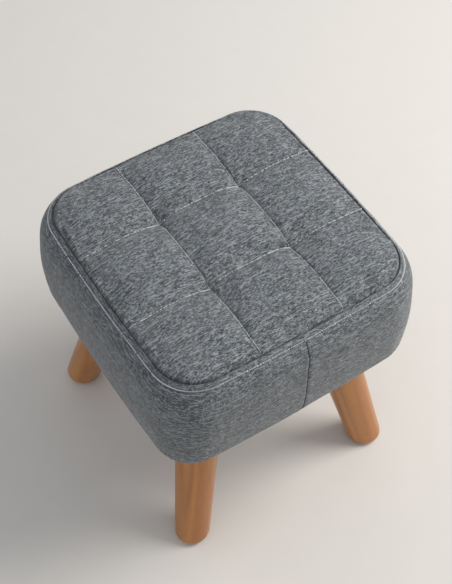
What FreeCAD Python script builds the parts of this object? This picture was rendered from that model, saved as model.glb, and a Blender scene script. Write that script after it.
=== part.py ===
import FreeCAD, Part
import math
import os

import Sketcher
from FreeCAD import Placement, Rotation, Vector

# Upholstered footstool: a sewn and quilted seat cover over foam on a screwed wooden box,
# standing on four turned, splayed legs that unscrew.
# Millimetres, +Z up, origin on the floor under the middle of the seat.
# The front is -Y and the left is -X.

doc = FreeCAD.newDocument("Footstool")
sheet = doc.addObject("Spreadsheet::Sheet", "Sizes")

DRIVING_SIZES = (
    # Seat cover
    ("seat_underside", 180, "floor to the underside of the seat"),
    ("seam_height", 305, "floor to the seam round the top"),
    ("top_reach", 141, "centre to the middle of a side, at the shoulder's crest"),
    ("belly_reach", 148.5, "centre to the middle of a side, at its fullest"),
    ("base_reach", 143, "centre to the middle of a side, at the base"),
    ("side_bow", 4, "how far the middle of a side stands out past its ends"),
    ("top_corner", 49, "corner radius in plan, at the shoulder's crest"),
    ("belly_corner", 50, "corner radius in plan, at half height"),
    ("base_corner", 38, "corner radius in plan, at the base"),
    ("shoulder_radius", 40, "rounding from the side up towards its crest"),
    ("shoulder_crest", 9, "crest of that rounding above the seam, where the form is cut level"),
    ("hem_radius", 14, "rounding from the side to the underside"),
    ("cloth", 1.5, "thickness of the side band's cloth with its backing"),
    ("hem_width", 25, "cloth turned in under the base board"),
    # Quilted top
    ("quilt_pitch", 90, "distance between the two quilting lines each way"),
    ("panel_edge", 3, "thickness of the quilted top at its seam"),
    ("panel_crown", 13, "middle of the top above the seam"),
    ("line_dip", 5, "quilting line below the crown, between crossings"),
    ("tuft_dip", 9, "further pull at a crossing"),
    # Wooden box
    ("board_inset", 6, "base board's edge from the edge of the flat underside"),
    ("rail_inset", 5, "rail's outer face from the base board's edge"),
    ("rail_thickness", 15, "thickness of a rail"),
    ("seat_foam_depth", 27.5, "foam between the top board and the quilted top"),
    ("base_thickness", 12, "thickness of the base board"),
    ("base_rounding", 22, "corner radius of the base board"),
    ("lid_thickness", 9, "thickness of the top board"),
    ("cleat_width", 50, "width of a leg cleat"),
    ("cleat_thickness", 15, "thickness of a leg cleat"),
    ("block_side", 30, "side of a corner block along a rail"),
    ("block_gap", 5, "top of a corner block below the top board"),
    # Legs
    ("leg_inset", 25, "leg bolt from the inner face of a rail"),
    ("leg_splay", 18, "lean of a leg from the vertical, in degrees"),
    ("leg_top_radius", 24, "leg radius at the seat"),
    ("leg_foot_radius", 18.6, "leg radius at the foot"),
    ("foot_rounding", 5, "rounding of the foot's edge"),
    ("front_left_turn", 3.5, "turn of this leg on its bolt, in degrees"),
    ("front_right_turn", -7.5, "turn of this leg on its bolt, in degrees"),
    ("back_left_turn", -1, "turn of this leg on its bolt, in degrees"),
    ("back_right_turn", 0, "turn of this leg on its bolt, in degrees"),
    ("glide_radius", 12, "radius of the glide under a foot"),
    ("glide_height", 2, "height of the glide under a foot"),
    # Leg fastening
    ("bolt_radius", 4, "radius of a hanger bolt"),
    ("bolt_in_leg", 40, "length of a hanger bolt inside the leg"),
    ("bolt_point", 6, "length of the bolt's wood point"),
    ("bolt_core", 3, "radius of the bolt's plain middle"),
    ("nut_flange_radius", 11, "radius of a T-nut's flange"),
    ("nut_flange", 1.5, "thickness of a T-nut's flange"),
    ("nut_barrel_radius", 5, "radius of a T-nut's barrel"),
    ("nut_barrel", 11, "length of a T-nut's barrel"),
    ("thread_gap", 0.1, "gap round a thread"),
    ("bolt_gap", 0.5, "gap round a bolt in the boards"),
    # Wood screws
    ("screw_radius", 2, "radius of a wood screw"),
    ("screw_head_radius", 4, "radius of a screw's countersunk head"),
    ("corner_screw", 40, "length of a screw through a rail's corner"),
    ("base_screw", 34, "length of a screw through the base board"),
    ("screw_inset", 16, "corner screw from the edge of a rail"),
    ("base_screw_spacing", 130, "distance between the base screws of one rail"),
    # Tufts and dust cover
    ("twine_radius", 1, "radius of the tufting twine"),
    ("knot_radius", 2.5, "radius of the knot under a washer"),
    ("knot_height", 4, "height of the knot under a washer"),
    ("washer_radius", 11, "radius of a tuft washer"),
    ("washer_thickness", 2, "thickness of a tuft washer"),
    ("dust_cloth", 0.6, "thickness of the dust cover"),
    ("dust_lap", 9, "how far the dust cover laps the hem"),
)

for row, (alias, size, note) in enumerate(DRIVING_SIZES, start=1):
    sheet.set("A%d" % row, note)
    sheet.set("B%d" % row, str(size))
    sheet.setAlias("B%d" % row, alias)
doc.recompute()

# Levels and distances that several pieces share, as expressions on the sheet.
BOARD_UNDER = "(Sizes.seat_underside + Sizes.cloth)"
BOARD_TOP = "(%s + Sizes.base_thickness)" % BOARD_UNDER
CLEAT_TOP = "(%s + Sizes.cleat_thickness)" % BOARD_TOP
PANEL_UNDER = "(Sizes.seam_height - Sizes.panel_edge)"
LID_TOP = "(%s - Sizes.seat_foam_depth)" % PANEL_UNDER
RAIL_TOP = "(%s - Sizes.lid_thickness)" % LID_TOP
RAIL_HEIGHT = "(%s - %s)" % (RAIL_TOP, BOARD_TOP)
LEG_TOP = "(%s - Sizes.dust_cloth)" % BOARD_UNDER
LEG_DROP = "(%s - Sizes.glide_height)" % LEG_TOP
UNDERSIDE_HALF = "(Sizes.base_reach - Sizes.hem_radius)"
BOARD_HALF = "(%s - Sizes.board_inset)" % UNDERSIDE_HALF
FRAME_HALF = "(%s - Sizes.rail_inset)" % BOARD_HALF
INSIDE_HALF = "(%s - Sizes.rail_thickness)" % FRAME_HALF
SCREW_LINE = "(%s - Sizes.rail_thickness / 2)" % FRAME_HALF
LEG_HALF = "(%s - Sizes.leg_inset)" % INSIDE_HALF
HEM_OPENING = "(%s - Sizes.hem_width)" % UNDERSIDE_HALF
DUST_HALF = "(%s + Sizes.dust_lap)" % HEM_OPENING

# Two heights or lengths that differ by less than this are the same one.
SAME = 1e-3

CORNERS = (
    ("front_left", -1, -1),
    ("front_right", 1, -1),
    ("back_left", -1, 1),
    ("back_right", 1, 1),
)


def value(expression):
    """The number that an expression on the sheet comes to."""
    return float(sheet.evalExpression(expression))


def size(alias):
    return value("Sizes.%s" % alias)


# Parametric bodies

def new_body(label):
    body = doc.addObject("PartDesign::Body", label)
    body.Label = label
    return body


def new_sketch(body, name, role="XY_Plane", lift="0"):
    """A sketch on one of the body's own origin planes, lifted along its normal."""
    sketch = body.newObject("Sketcher::SketchObject", name)
    plane = next(f for f in body.Origin.OriginFeatures if f.Role == role)
    sketch.AttachmentSupport = [(plane, "")]
    sketch.MapMode = "FlatFace"
    sketch.setExpression("AttachmentOffset.Base.z", lift)
    return sketch


def constrain(sketch, kind, *places, to=None):
    """Adds a constraint, and binds it to an expression where it has a size."""
    if to is None:
        return sketch.addConstraint(Sketcher.Constraint(kind, *places))
    index = sketch.addConstraint(Sketcher.Constraint(kind, *places, value(to)))
    sketch.setExpression("Constraints[%d]" % index, to)
    return index


def draw_polygon(sketch, points):
    """A closed outline through points, each given by its two expressions."""
    corners = [Vector(value(along), value(up), 0) for along, up in points]
    count = len(corners)
    for i in range(count):
        sketch.addGeometry(Part.LineSegment(corners[i], corners[(i + 1) % count]), False)
    for i in range(count):
        constrain(sketch, "Coincident", i, 2, (i + 1) % count, 1)
    for i, (along, up) in enumerate(points):
        constrain(sketch, "DistanceX", -1, 1, i, 1, to=along)
        constrain(sketch, "DistanceY", -1, 1, i, 1, to=up)


def draw_rectangle(sketch, half_width, half_depth):
    """A rectangle centred on the sketch's origin."""
    draw_polygon(sketch, [
        ("-" + half_width, "-" + half_depth), (half_width, "-" + half_depth),
        (half_width, half_depth), ("-" + half_width, half_depth),
    ])


def draw_circles(sketch, radius, centres):
    """Equal circles, each centre given by its two expressions."""
    for i, (along, up) in enumerate(centres):
        centre = Vector(value(along), value(up), 0)
        sketch.addGeometry(Part.Circle(centre, Vector(0, 0, 1), value(radius)), False)
        constrain(sketch, "Radius", i, to=radius)
        constrain(sketch, "DistanceX", -1, 1, i, 3, to=along)
        constrain(sketch, "DistanceY", -1, 1, i, 3, to=up)


def add_pad(body, sketch, length):
    pad = body.newObject("PartDesign::Pad", sketch.Name + "_pad")
    pad.Profile = sketch
    pad.setExpression("Length", length)
    body.Tip = pad
    return pad


def add_pocket(body, sketch, depth, reversed_cut=False):
    pocket = body.newObject("PartDesign::Pocket", sketch.Name + "_cut")
    pocket.Profile = sketch
    pocket.Reversed = reversed_cut
    pocket.setExpression("Length", depth)
    body.Tip = pocket
    return pocket


def add_revolution(body, sketch):
    """The sketch turned once round the body's upright axis."""
    turned = body.newObject("PartDesign::Revolution", sketch.Name + "_turned")
    turned.Profile = sketch
    turned.ReferenceAxis = (sketch, ["V_Axis"])
    turned.Angle = 360
    body.Tip = turned
    return turned


def add_fillet(body, base, edges, radius):
    fillet = body.newObject("PartDesign::Fillet", base.Name + "_fillet")
    fillet.Base = (base, edges)
    fillet.setExpression("Radius", radius)
    body.Tip = fillet
    return fillet


def edges_where(shape, test):
    """Names of the shape's edges that pass a test."""
    return ["Edge%d" % (i + 1) for i, edge in enumerate(shape.Edges) if test(edge)]


def is_upright(edge):
    box = edge.BoundBox
    return box.ZLength > SAME and box.XLength < SAME and box.YLength < SAME


def place(item, x="0", y="0", z="0", turn="0"):
    """Moves a piece by expressions, after turning it about the upright axis."""
    item.Placement = Placement(Vector(0, 0, 0), Rotation(Vector(0, 0, 1), 0))
    item.setExpression("Placement.Base.x", x)
    item.setExpression("Placement.Base.y", y)
    item.setExpression("Placement.Base.z", z)
    item.setExpression("Placement.Rotation.Angle", turn)


def cut_with(label, base, tool):
    """The node called label: a blank with the tool's shape taken out of it."""
    node = doc.addObject("Part::Cut", label)
    node.Label = label
    node.Base = base
    node.Tool = tool
    node.Refine = True
    return node


def new_feature(label, shape):
    feature = doc.addObject("Part::Feature", label)
    feature.Label = label
    feature.Shape = shape
    return feature


# Seat form: the cover's outside and inside are the same loft, one set in by the cloth

def square_prism(half, low, high):
    """A square column between two heights."""
    return Part.makeBox(2 * half, 2 * half, high - low, Vector(-half, -half, low))



def bowed_square(reach, side_radius, corner_radius, height):
    """A level square outline: four bowed sides joined by four tangent corner arcs."""
    back = side_radius - reach
    span = side_radius - corner_radius
    corner = (math.sqrt(2 * span ** 2 - back ** 2) - back) / 2
    side_centre = Vector(0, back, 0)
    corner_centre = Vector(corner, -corner, 0)
    towards = (corner_centre - side_centre).normalize()
    join = side_centre + towards * side_radius
    front_left = Vector(-join.x, join.y, 0)
    outer = corner_centre + Vector(1, -1, 0).normalize() * corner_radius
    mirrored = Vector(-join.y, -join.x, 0)
    edges = []
    for quarter in range(4):
        spin = Rotation(Vector(0, 0, 1), 90 * quarter)
        side = (front_left, Vector(0, -reach, 0), join)
        round_corner = (join, outer, mirrored)
        for points in (side, round_corner):
            raised = [spin.multVec(point) + Vector(0, 0, height) for point in points]
            edges.append(Part.Arc(*raised).toShape())
    return Part.Wire(edges)


def bow_radius(reach):
    """Radius of a side that bows by side_bow over its whole width."""
    bow = size("side_bow")
    return (reach ** 2 + bow ** 2) / (2 * bow)


def seat_section(level, inset):
    """One of the seat's three sections, its name being top, belly or base."""
    heights = {
        "base": size("seat_underside") + inset,
        "belly": (size("seat_underside") + size("seam_height") + size("shoulder_crest")) / 2,
        "top": size("seam_height") + size("shoulder_crest") - inset,
    }
    reach = size(level + "_reach")
    corner = size(level + "_corner")
    return bowed_square(reach - inset, bow_radius(reach) - inset, corner - inset, heights[level])


def seat_form(inset):
    """The seat as a solid up to its seam: a loft with a round shoulder and a round hem."""
    sections = [seat_section(level, inset) for level in ("base", "belly", "top")]
    blank = Part.makeLoft(sections, True, False)
    low = size("seat_underside") + inset
    high = size("seam_height") + size("shoulder_crest") - inset
    for height, radius in ((high, size("shoulder_radius")), (low, size("hem_radius"))):
        rim = [
            edge for edge in blank.Edges
            if abs(edge.BoundBox.ZMin - height) < SAME and edge.BoundBox.ZLength < SAME
        ]
        blank = blank.makeFillet(radius - inset, rim)
    return blank.common(square_prism(2 * size("belly_reach"), low, size("seam_height")))


outer_form = seat_form(0)
inner_form = seat_form(size("cloth"))


def seam_reach():
    """Centre to the middle of a side of the quilted top, just inside the form's level rim."""
    rim = max(outer_form.Faces, key=lambda face: face.BoundBox.ZMin)
    return -rim.BoundBox.YMin - size("cloth") / 3


SEAM_REACH = seam_reach()


def seam_prism(low, high):
    """The column inside the top seam, between two heights."""
    reach = size("top_reach")
    inset = reach - SEAM_REACH
    outline = bowed_square(
        SEAM_REACH, bow_radius(reach) - inset, size("top_corner") - inset, low)
    return Part.Face(outline).extrude(Vector(0, 0, high - low))


# Quilted top: three rows of three pillows between four quilting lines

def rise_share(distance):
    """Share of the crown that the top has gained this far in from its seam."""
    room = SEAM_REACH - size("quilt_pitch") / 2
    far = min(SEAM_REACH - abs(distance), room)
    return 1 - (1 - far / room) ** 3


def line_pull(distance):
    """Pull of the nearest quilting line: 1 on the line, 0 half way to the next."""
    half = size("quilt_pitch") / 2
    if abs(distance) <= half:
        return (distance / half) ** 2
    return max(0, 1 - (abs(distance) - half) / (SEAM_REACH - half)) ** 2


def quilt_height(x, y):
    """Height of the quilted top over a point."""
    pull_x = line_pull(x)
    pull_y = line_pull(y)
    dip = size("line_dip") * (pull_x + pull_y - pull_x * pull_y)
    dip += size("tuft_dip") * (pull_x * pull_y) ** 2
    rise = rise_share(x) * rise_share(y) * (size("panel_crown") - dip)
    return size("seam_height") + rise


def quilt_section(y, outer):
    """An upright section across the top: a flat underside and three pillow arcs."""
    half = size("quilt_pitch") / 2
    under = value(PANEL_UNDER) - size("panel_edge")
    stops = (-outer, -half, half, outer)
    edges = []
    for start, end in zip(stops, stops[1:]):
        middle = (start + end) / 2
        points = [Vector(x, y, quilt_height(x, y)) for x in (start, middle, end)]
        edges.append(Part.Arc(*points).toShape())
    left = Vector(-outer, y, under)
    right = Vector(outer, y, under)
    edges.append(Part.makeLine(edges[-1].Vertexes[-1].Point, right))
    edges.append(Part.makeLine(right, left))
    edges.append(Part.makeLine(left, edges[0].Vertexes[0].Point))
    return Part.Wire(edges)


def quilted_top():
    """The top's pillows, trimmed to the seam and cut level underneath."""
    half = size("quilt_pitch") / 2
    outer = SEAM_REACH + size("panel_edge")
    steps = 4
    rows = []
    for start, end in ((-outer, -half), (-half, half), (half, outer)):
        planes = [start + (end - start) * i / steps for i in range(steps + 1)]
        rows.append(Part.makeLoft([quilt_section(y, outer) for y in planes], True, False))
    pillows = rows[0].fuse(rows[1:])
    high = size("seam_height") + 2 * size("panel_crown")
    return pillows.common(seam_prism(value(PANEL_UNDER), high)).removeSplitter()


# Tufting twines, each with the knot that holds it under its washer

def tuft_places():
    half = size("quilt_pitch") / 2
    return [(x, y) for x in (-half, half) for y in (-half, half)]


def tuft_twine(x, y):
    washer_under = value(RAIL_TOP) - size("washer_thickness")
    knot_under = Vector(x, y, washer_under - size("knot_height"))
    length = quilt_height(x, y) - knot_under.z
    twine = Part.makeCylinder(size("twine_radius"), length, knot_under)
    knot = Part.makeCylinder(size("knot_radius"), size("knot_height"), knot_under)
    return twine.fuse(knot).removeSplitter()


tuft_twines = new_feature(
    "tuft_twines", Part.makeCompound([tuft_twine(x, y) for x, y in tuft_places()]))


# Wood screws, modelled once and used again to drill the pieces that they hold

def wood_screw(length, place_point, direction):
    """A countersunk screw whose head is flush at place_point and which points along direction."""
    radius = size("screw_radius")
    head = size("screw_head_radius")
    sink = head - radius
    outline = Part.makePolygon([
        Vector(0, 0, 0), Vector(head, 0, 0), Vector(radius, 0, sink),
        Vector(radius, 0, length - 2 * radius), Vector(0, 0, length), Vector(0, 0, 0),
    ])
    screw = Part.Face(outline).revolve(Vector(0, 0, 0), Vector(0, 0, 1), 360)
    screw = Part.Solid(screw) if screw.ShapeType == "Shell" else screw
    screw.Placement = Placement(place_point, Rotation(Vector(0, 0, 1), direction))
    return screw


def all_screws():
    line = value(SCREW_LINE)
    face = value(FRAME_HALF)
    low = value(BOARD_TOP) + size("screw_inset")
    high = value(RAIL_TOP) - size("screw_inset")
    screws = []
    for side in (-1, 1):
        for x in (-line, line):
            for z in (low, high):
                start = Vector(x, side * face, z)
                screws.append(wood_screw(size("corner_screw"), start, Vector(0, -side, 0)))
    along = size("base_screw_spacing") / 2
    for across in (-line, line):
        for offset in (-along, along):
            for x, y in ((across, offset), (offset, across)):
                start = Vector(x, y, value(BOARD_UNDER))
                screws.append(wood_screw(size("base_screw"), start, Vector(0, 0, 1)))
    return screws


frame_screws = new_feature("frame_screws", Part.makeCompound(all_screws()))


# Cover and foam

underside = size("seat_underside")
seam_height = size("seam_height")

side_band_shape = outer_form.cut(inner_form)
side_band_shape = side_band_shape.cut(
    seam_prism(seam_height - 2 * size("cloth"), seam_height + size("cloth")))
side_band_shape = side_band_shape.cut(
    square_prism(value(HEM_OPENING), underside - size("cloth"), underside + 2 * size("cloth")))
side_band = new_feature("side_band", side_band_shape)

top_panel_blank = new_feature("top_panel_blank", quilted_top())
top_panel = cut_with("top_panel", top_panel_blank, tuft_twines)

seat_foam_shape = inner_form.common(
    square_prism(size("belly_reach"), value(LID_TOP), value(PANEL_UNDER)))
seat_foam_blank = new_feature("seat_foam_blank", seat_foam_shape)
seat_foam = cut_with("seat_foam", seat_foam_blank, tuft_twines)


# The base board and the box of rails

base_board_blank = new_body("base_board_blank")
base_outline = new_sketch(base_board_blank, "base_outline")
draw_rectangle(base_outline, BOARD_HALF, BOARD_HALF)
base_pad = add_pad(base_board_blank, base_outline, "Sizes.base_thickness")
doc.recompute()
base_edges = edges_where(base_pad.Shape, is_upright)
base_rounded = add_fillet(base_board_blank, base_pad, base_edges, "Sizes.base_rounding")
base_holes = new_sketch(base_board_blank, "base_holes")
LEG_CENTRES = [
    ("-" + LEG_HALF, "-" + LEG_HALF), (LEG_HALF, "-" + LEG_HALF),
    ("-" + LEG_HALF, LEG_HALF), (LEG_HALF, LEG_HALF),
]
draw_circles(base_holes, "(Sizes.bolt_radius + Sizes.bolt_gap)", LEG_CENTRES)
add_pocket(base_board_blank, base_holes, "Sizes.base_thickness", reversed_cut=True)
place(base_board_blank, z=BOARD_UNDER)
base_board = cut_with("base_board", base_board_blank, frame_screws)


def make_rail(label, half_length, x, y, turn):
    """A rail lying along X before it is turned, its outer face towards -Y."""
    rail = new_body(label + "_blank")
    outline = new_sketch(rail, label + "_outline")
    draw_rectangle(outline, half_length, "(Sizes.rail_thickness / 2)")
    add_pad(rail, outline, RAIL_HEIGHT)
    place(rail, x, y, BOARD_TOP, turn)
    return cut_with(label, rail, frame_screws)


rails = [
    make_rail("rail_front", FRAME_HALF, "0", "-" + SCREW_LINE, "0"),
    make_rail("rail_back", FRAME_HALF, "0", SCREW_LINE, "180"),
    make_rail("rail_left", INSIDE_HALF, "-" + SCREW_LINE, "0", "90"),
    make_rail("rail_right", INSIDE_HALF, SCREW_LINE, "0", "-90"),
]

top_board_blank = new_body("top_board_blank")
lid_outline = new_sketch(top_board_blank, "lid_outline")
draw_rectangle(lid_outline, FRAME_HALF, FRAME_HALF)
add_pad(top_board_blank, lid_outline, "Sizes.lid_thickness")
place(top_board_blank, z=RAIL_TOP)
top_board = cut_with("top_board", top_board_blank, tuft_twines)


def make_cleat(label, side):
    """A strip across the base board that carries two T-nuts."""
    cleat = new_body(label)
    outline = new_sketch(cleat, label + "_outline")
    draw_rectangle(outline, "(Sizes.cleat_width / 2)", INSIDE_HALF)
    add_pad(cleat, outline, "Sizes.cleat_thickness")
    doc.recompute()
    holes = new_sketch(cleat, label + "_holes")
    draw_circles(holes, "Sizes.nut_barrel_radius", [("0", "-" + LEG_HALF), ("0", LEG_HALF)])
    add_pocket(cleat, holes, "Sizes.cleat_thickness", reversed_cut=True)
    place(cleat, side + LEG_HALF, "0", BOARD_TOP)
    return cleat


cleats = [make_cleat("leg_cleat_left", "-"), make_cleat("leg_cleat_right", "")]


def make_corner_block(corner, turn):
    """A triangular block glued into an inside corner of the rails."""
    label = "corner_block_" + corner
    block = new_body(label)
    outline = new_sketch(block, label + "_outline")
    draw_polygon(outline, [
        (INSIDE_HALF, INSIDE_HALF),
        ("(%s - Sizes.block_side)" % INSIDE_HALF, INSIDE_HALF),
        (INSIDE_HALF, "(%s - Sizes.block_side)" % INSIDE_HALF),
    ])
    add_pad(block, outline, "(%s - %s - Sizes.block_gap)" % (RAIL_TOP, CLEAT_TOP))
    place(block, z=CLEAT_TOP, turn=turn)
    return block


BLOCK_TURNS = {"back_right": "0", "back_left": "90", "front_left": "180", "front_right": "270"}
blocks = [make_corner_block(corner, BLOCK_TURNS[corner]) for corner, _, _ in CORNERS]


# Side foam: one pad on each rail, the front and back ones going round the corners

lid_top = value(LID_TOP)
foam_ring = inner_form.common(square_prism(size("belly_reach"), underside, lid_top))
foam_ring = foam_ring.cut(square_prism(value(FRAME_HALF), value(BOARD_TOP), lid_top))
board_solid = square_prism(value(BOARD_HALF), value(BOARD_UNDER), value(BOARD_TOP))
upright = [edge for edge in board_solid.Edges if is_upright(edge)]
foam_ring = foam_ring.cut(board_solid.makeFillet(size("base_rounding"), upright))


def foam_pad(turn, half_width):
    """The part of the foam ring outside the frame's front face, turned round the frame."""
    reach = size("belly_reach")
    depth = reach - value(FRAME_HALF)
    block = Part.makeBox(2 * half_width, depth, lid_top - underside)
    block.Placement = Placement(
        Vector(-half_width, -reach, underside), Rotation())
    block.rotate(Vector(0, 0, 0), Vector(0, 0, 1), turn)
    return foam_ring.common(block)


FOAM_PADS = (
    ("foam_front", 0, "Sizes.belly_reach"),
    ("foam_back", 180, "Sizes.belly_reach"),
    ("foam_left", 270, FRAME_HALF),
    ("foam_right", 90, FRAME_HALF),
)
foam_pads = [
    new_feature(label, foam_pad(turn, value(half))) for label, turn, half in FOAM_PADS
]


# Dust cover: a stapled border under the hem and a middle that lies against the board

dust_cover = new_body("dust_cover")
border = new_sketch(dust_cover, "dust_border")
draw_rectangle(border, DUST_HALF, DUST_HALF)
add_pad(dust_cover, border, "Sizes.dust_cloth")
middle = new_sketch(dust_cover, "dust_middle")
draw_rectangle(middle, HEM_OPENING, HEM_OPENING)
add_pad(dust_cover, middle, "(Sizes.cloth + Sizes.dust_cloth)")
doc.recompute()
recess = new_sketch(dust_cover, "dust_recess")
recess_half = "(%s - Sizes.dust_cloth)" % HEM_OPENING
draw_rectangle(recess, recess_half, recess_half)
add_pocket(dust_cover, recess, "Sizes.cloth", reversed_cut=True)
bolt_holes = new_sketch(dust_cover, "dust_holes")
draw_circles(bolt_holes, "(Sizes.bolt_radius + Sizes.bolt_gap)", LEG_CENTRES)
add_pocket(dust_cover, bolt_holes, "(2 * Sizes.cloth + Sizes.dust_cloth)", reversed_cut=True)
place(dust_cover, z="(Sizes.seat_underside - Sizes.dust_cloth)")


# Tuft washers under the top board

def make_washer_group():
    top = value(RAIL_TOP)
    washers = []
    for x, y in tuft_places():
        corner = Vector(x, y, top - size("washer_thickness"))
        disc = Part.makeCylinder(size("washer_radius"), size("washer_thickness"), corner)
        hole = Part.makeCylinder(size("twine_radius"), size("washer_thickness"), corner)
        washers.append(disc.cut(hole))
    return new_feature("tuft_washers", Part.makeCompound(washers))


tuft_washers = make_washer_group()


# Legs: a turned taper, leaning outwards, cut level at the seat and at the foot

def make_leg(corner, side_x, side_y):
    """A leg drawn leaning towards +X with its top at the origin, then turned to its corner."""
    label = "leg_" + corner
    extra = "Sizes.leg_top_radius"
    taper = "((Sizes.leg_top_radius - Sizes.leg_foot_radius) / %s)" % LEG_DROP
    lean = "tan(Sizes.leg_splay * 1deg)"

    taper_blank = doc.addObject("Part::Cone", label + "_taper")
    taper_blank.setExpression("Radius1", "Sizes.leg_foot_radius - %s * %s" % (extra, taper))
    taper_blank.setExpression("Radius2", "Sizes.leg_top_radius + %s * %s" % (extra, taper))
    taper_blank.setExpression(
        "Height", "(%s + 2 * %s) / cos(Sizes.leg_splay * 1deg)" % (LEG_DROP, extra))
    taper_blank.Placement = Placement(Vector(0, 0, 0), Rotation(Vector(0, 1, 0), -1))
    taper_blank.setExpression("Placement.Base.x", "(%s + %s) * %s" % (LEG_DROP, extra, lean))
    taper_blank.setExpression("Placement.Base.z", "-(%s + %s)" % (LEG_DROP, extra))
    taper_blank.setExpression("Placement.Rotation.Angle", "-Sizes.leg_splay")

    slab = doc.addObject("Part::Box", label + "_slab")
    slab.setExpression("Length", "%s * %s + 4 * %s" % (LEG_DROP, lean, extra))
    slab.setExpression("Width", "4 * %s" % extra)
    slab.setExpression("Height", LEG_DROP)
    slab.setExpression("Placement.Base.x", "-2 * %s" % extra)
    slab.setExpression("Placement.Base.y", "-2 * %s" % extra)
    slab.setExpression("Placement.Base.z", "-" + LEG_DROP)

    trimmed = doc.addObject("Part::Common", label + "_trimmed")
    trimmed.Base = taper_blank
    trimmed.Tool = slab
    doc.recompute()
    foot_level = -value(LEG_DROP)
    foot_edges = [
        i + 1 for i, edge in enumerate(trimmed.Shape.Edges)
        if abs(edge.BoundBox.ZMax - foot_level) < SAME
    ]
    eased = doc.addObject("Part::Fillet", label + "_eased")
    eased.Base = trimmed
    radius = size("foot_rounding")
    eased.Edges = [(index, radius, radius) for index in foot_edges]

    bore = doc.addObject("Part::Cylinder", label + "_bore")
    bore.setExpression("Radius", "Sizes.bolt_radius + Sizes.thread_gap")
    bore.setExpression("Height", "Sizes.bolt_in_leg + Sizes.bolt_gap")
    bore.setExpression("Placement.Base.z", "-(Sizes.bolt_in_leg + Sizes.bolt_gap)")

    leg = cut_with(label, eased, bore)
    heading = math.degrees(math.atan2(side_y, side_x))
    turn = "%g + Sizes.%s_turn" % (heading, corner)
    place(leg, "%d * %s" % (side_x, LEG_HALF), "%d * %s" % (side_y, LEG_HALF), LEG_TOP, turn)
    return leg


def make_glide(corner, side_x, side_y):
    """A felt disc under the middle of a foot."""
    label = "foot_pad_" + corner
    glide = new_body(label)
    outline = new_sketch(glide, label + "_outline")
    draw_circles(outline, "Sizes.glide_radius", [("0", "0")])
    add_pad(glide, outline, "Sizes.glide_height")
    heading = math.degrees(math.atan2(side_y, side_x))
    turn = "(%g + Sizes.%s_turn) * 1deg" % (heading, corner)
    step = "%s * tan(Sizes.leg_splay * 1deg)" % LEG_DROP
    place(
        glide,
        "%d * %s + %s * cos(%s)" % (side_x, LEG_HALF, step, turn),
        "%d * %s + %s * sin(%s)" % (side_y, LEG_HALF, step, turn))
    return glide


def make_bolt(corner, side_x, side_y):
    """A hanger bolt: a wood point and shank in the leg, a machine end up into the T-nut."""
    label = "hanger_bolt_" + corner
    bolt = new_body(label)
    profile = new_sketch(bolt, label + "_profile", role="XZ_Plane")
    shank = "Sizes.bolt_radius"
    core = "Sizes.bolt_core"
    low = "-Sizes.bolt_in_leg"
    high = "(%s - %s + Sizes.nut_flange)" % (CLEAT_TOP, LEG_TOP)
    ease = "(Sizes.bolt_radius - Sizes.bolt_core)"
    draw_polygon(profile, [
        ("0", low), (shank, "(%s + Sizes.bolt_point)" % low),
        (shank, "-2 * " + ease), (core, "-" + ease), (core, "0"),
        (shank, ease), (shank, "(%s - %s)" % (high, ease)), (core, high), ("0", high),
    ])
    add_revolution(bolt, profile)
    place(bolt, "%d * %s" % (side_x, LEG_HALF), "%d * %s" % (side_y, LEG_HALF), LEG_TOP)
    return bolt


def make_t_nut(corner, side_x, side_y):
    """A T-nut dropped into its cleat from above, its flange on the cleat."""
    label = "t_nut_" + corner
    nut = new_body(label)
    profile = new_sketch(nut, label + "_profile", role="XZ_Plane")
    bore = "(Sizes.bolt_radius + Sizes.thread_gap)"
    draw_polygon(profile, [
        (bore, "-Sizes.nut_barrel"), ("Sizes.nut_barrel_radius", "-Sizes.nut_barrel"),
        ("Sizes.nut_barrel_radius", "0"), ("Sizes.nut_flange_radius", "0"),
        ("Sizes.nut_flange_radius", "Sizes.nut_flange"), (bore, "Sizes.nut_flange"),
    ])
    add_revolution(nut, profile)
    place(nut, "%d * %s" % (side_x, LEG_HALF), "%d * %s" % (side_y, LEG_HALF), CLEAT_TOP)
    return nut


leg_sets = []
for corner, side_x, side_y in CORNERS:
    for maker in (make_leg, make_glide, make_bolt, make_t_nut):
        leg_sets.append(maker(corner, side_x, side_y))

doc.recompute()

nodes = [side_band, top_panel, seat_foam, base_board, top_board, dust_cover]
nodes += foam_pads + rails + cleats + blocks + leg_sets
nodes += [frame_screws, tuft_twines, tuft_washers]

for item in doc.Objects:
    if "Invalid" in item.State or "Error" in item.State:
        raise RuntimeError("%s could not be worked out" % item.Label)
for node in nodes:
    if node.Shape.isNull() or not node.Shape.isValid():
        raise RuntimeError("%s has no sound shape" % node.Label)

os.makedirs("parts", exist_ok=True)
for node in nodes:
    node.Shape.exportStep("parts/%s.step" % node.Label)
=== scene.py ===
import math

import bpy
import numpy as np
from bpy.props import FloatProperty, FloatVectorProperty, IntProperty, PointerProperty
from bpy.types import Operator, Panel, PropertyGroup
from mathutils import Euler, Matrix, Vector, noise
from mathutils.bvhtree import BVHTree


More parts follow.
